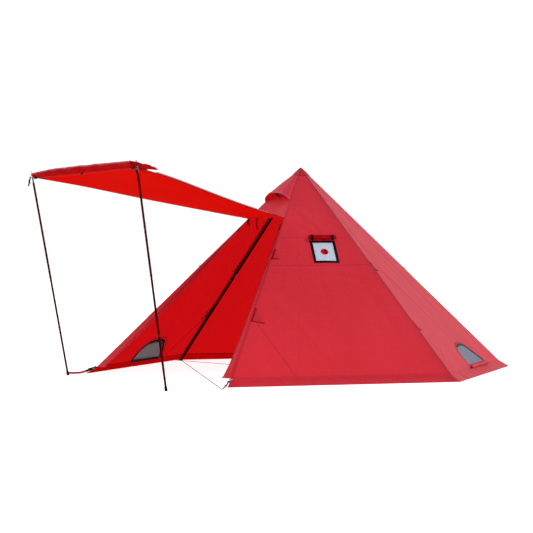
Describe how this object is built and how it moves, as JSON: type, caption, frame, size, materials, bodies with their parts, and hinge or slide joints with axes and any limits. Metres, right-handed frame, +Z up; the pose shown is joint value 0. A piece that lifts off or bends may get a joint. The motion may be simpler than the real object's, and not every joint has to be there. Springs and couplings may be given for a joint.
{
  "type": "tipi tent",
  "caption": "Six-sided tipi tent whose door panel is raised on slanted poles as an awning, with a stove jack, net vents and an inner A-frame.",
  "frame": {"origin": "on the ground, at the middle of the whole tent's outline with its raised awning", "axes": "+Z up, the door faces -Y, +X to the right as seen from in front of the door"},
  "size_m": [4.2118, 4.4722, 2.022],
  "materials": {
    "right_front_wall": "red coated cloth, matt",
    "right_back_wall": "red coated cloth, matt",
    "back_wall": "red coated cloth, matt",
    "left_back_wall": "red coated cloth, matt",
    "left_front_wall": "red coated cloth, matt",
    "right_vent_cover": "red coated cloth, matt",
    "left_vent_cover": "red coated cloth, matt",
    "right_front_skirt": "red coated cloth, matt",
    "right_back_skirt": "red coated cloth, matt",
    "back_skirt": "red coated cloth, matt",
    "left_back_skirt": "red coated cloth, matt",
    "left_front_skirt": "red coated cloth, matt",
    "door_header": "red coated cloth, matt",
    "right_storm_strip": "red coated cloth, matt",
    "left_storm_strip": "red coated cloth, matt",
    "peak_cap": "red coated cloth, matt",
    "vent_hood": "red coated cloth, matt",
    "stove_jack_flap": "red coated cloth, matt",
    "right_vent_mesh": "grey insect net",
    "left_vent_mesh": "grey insect net",
    "top_vent_mesh": "grey insect net",
    "right_door_zip": "black woven webbing",
    "left_door_zip": "black woven webbing",
    "stove_jack_frame": "black woven webbing",
    "left_flap_strap": "black woven webbing",
    "right_flap_strap": "black woven webbing",
    "right_corner_strap": "black woven webbing",
    "left_corner_strap": "black woven webbing",
    "foot_strap": "black woven webbing",
    "stove_jack_panel": "pale coated glass cloth",
    "crown_hub": "black moulded plastic",
    "right_crown_pin": "plain steel",
    "left_crown_pin": "plain steel",
    "corner_cord": "brown cord",
    "left_corner_cord": "red cord",
    "awning_panel": "red coated cloth, matt",
    "awning_hem_skirt": "red coated cloth, matt",
    "right_pole_section_1": "dark maroon anodised",
    "right_pole_section_2": "dark maroon anodised",
    "right_pole_section_3": "dark maroon anodised",
    "right_pole_section_4": "dark maroon anodised",
    "right_pole_tip": "plain steel",
    "right_pole_foot": "black rubber",
    "left_pole_section_1": "dark maroon anodised",
    "left_pole_section_2": "dark maroon anodised",
    "left_pole_section_3": "dark maroon anodised",
    "left_pole_section_4": "dark maroon anodised",
    "left_pole_tip": "plain steel",
    "left_pole_foot": "black rubber",
    "right_upper_leg": "black coated tube, satin",
    "right_leg_collar": "black moulded plastic",
    "right_lower_leg": "black coated tube, satin",
    "right_leg_foot": "black rubber",
    "left_upper_leg": "black coated tube, satin",
    "left_leg_collar": "black moulded plastic",
    "left_lower_leg": "black coated tube, satin",
    "left_leg_foot": "black rubber",
    "right_zip_slider": "black moulded plastic",
    "left_zip_slider": "black moulded plastic",
    "hood_prop": "black moulded plastic"
  },
  "bodies": {
    "tent": {"right_front_wall": "right_front_wall", "right_back_wall": "right_back_wall", "back_wall": "back_wall", "left_back_wall": "left_back_wall", "left_front_wall": "left_front_wall", "right_vent_cover": "right_vent_cover", "left_vent_cover": "left_vent_cover", "right_front_skirt": "right_front_skirt", "right_back_skirt": "right_back_skirt", "back_skirt": "back_skirt", "left_back_skirt": "left_back_skirt", "left_front_skirt": "left_front_skirt", "door_header": "door_header", "right_storm_strip": "right_storm_strip", "left_storm_strip": "left_storm_strip", "peak_cap": "peak_cap", "vent_hood": "vent_hood", "stove_jack_flap": "stove_jack_flap", "right_vent_mesh": "right_vent_mesh", "left_vent_mesh": "left_vent_mesh", "top_vent_mesh": "top_vent_mesh", "right_door_zip": "right_door_zip", "left_door_zip": "left_door_zip", "stove_jack_frame": "stove_jack_frame", "left_flap_strap": "left_flap_strap", "right_flap_strap": "right_flap_strap", "right_corner_strap": "right_corner_strap", "left_corner_strap": "left_corner_strap", "foot_strap": "foot_strap", "stove_jack_panel": "stove_jack_panel", "crown_hub": "crown_hub", "right_crown_pin": "right_crown_pin", "left_crown_pin": "left_crown_pin", "corner_cord": "corner_cord", "left_corner_cord": "left_corner_cord"},
    "door_awning": {"awning_panel": "awning_panel", "awning_hem_skirt": "awning_hem_skirt"},
    "right_pole": {"right_pole_section_1": "right_pole_section_1", "right_pole_section_2": "right_pole_section_2", "right_pole_section_3": "right_pole_section_3", "right_pole_section_4": "right_pole_section_4", "right_pole_tip": "right_pole_tip", "right_pole_foot": "right_pole_foot"},
    "left_pole": {"left_pole_section_1": "left_pole_section_1", "left_pole_section_2": "left_pole_section_2", "left_pole_section_3": "left_pole_section_3", "left_pole_section_4": "left_pole_section_4", "left_pole_tip": "left_pole_tip", "left_pole_foot": "left_pole_foot"},
    "right_upper_leg_body": {"right_upper_leg": "right_upper_leg", "right_leg_collar": "right_leg_collar"},
    "right_lower_leg_body": {"right_lower_leg": "right_lower_leg", "right_leg_foot": "right_leg_foot"},
    "left_upper_leg_body": {"left_upper_leg": "left_upper_leg", "left_leg_collar": "left_leg_collar"},
    "left_lower_leg_body": {"left_lower_leg": "left_lower_leg", "left_leg_foot": "left_leg_foot"},
    "right_zip_slider_body": {"right_zip_slider": "right_zip_slider"},
    "left_zip_slider_body": {"left_zip_slider": "left_zip_slider"},
    "hood_prop_body": {"hood_prop": "hood_prop"}
  },
  "joints": [
    {"name": "awning_swing", "type": "hinge", "parent": "tent", "child": "door_awning", "pos_m": [0, -0.05259, 1.50543], "axis": [1, 0, 0], "range_deg": [0, 51]},
    {"name": "right_pole_tip_over", "type": "hinge", "parent": "tent", "child": "right_pole", "pos_m": [1.026, -2.01959, 0], "axis": [1, 0, 0], "range_deg": [0, 85.2]},
    {"name": "left_pole_tip_over", "type": "hinge", "parent": "tent", "child": "left_pole", "pos_m": [-1.056, -1.67399, 0], "axis": [1, 0, 0], "range_deg": [0, 75]},
    {"name": "left_leg_fold", "type": "hinge", "parent": "tent", "child": "left_upper_leg_body", "pos_m": [-0.03, 0.40296, 1.935], "axis": [0, -1, 0], "range_deg": [0, 25]},
    {"name": "right_leg_fold", "type": "hinge", "parent": "tent", "child": "right_upper_leg_body", "pos_m": [0.03, 0.40296, 1.935], "axis": [0, 1, 0], "range_deg": [0, 25.1]},
    {"name": "left_leg_slide", "type": "slide", "parent": "left_upper_leg_body", "child": "left_lower_leg_body", "axis": [0.7187, 0, 0.6953], "range_m": [0, 1.256]},
    {"name": "right_leg_slide", "type": "slide", "parent": "right_upper_leg_body", "child": "right_lower_leg_body", "axis": [-0.7187, 0, 0.6953], "range_m": [0, 1.256]},
    {"name": "right_zip_slide", "type": "slide", "parent": "tent", "child": "right_zip_slider_body", "axis": [0.3227, -0.6294, -0.7069], "range_m": [0, 1.75]},
    {"name": "left_zip_slide", "type": "slide", "parent": "tent", "child": "left_zip_slider_body", "axis": [-0.3227, -0.6294, -0.7069], "range_m": [0, 1.75]},
    {"name": "hood_prop_turn", "type": "hinge", "parent": "tent", "child": "hood_prop_body", "pos_m": [0, 0.1265, 1.71151], "axis": [1, 0, 0], "range_deg": [0, 80]}
  ],
  "couplings": [
    {"joint": "right_leg_fold", "follows": "left_leg_fold", "ratio": 1},
    {"joint": "left_leg_slide", "follows": "left_leg_fold", "m_per_rad": 2.877},
    {"joint": "right_leg_slide", "follows": "left_leg_fold", "m_per_rad": 2.877}
  ]
}
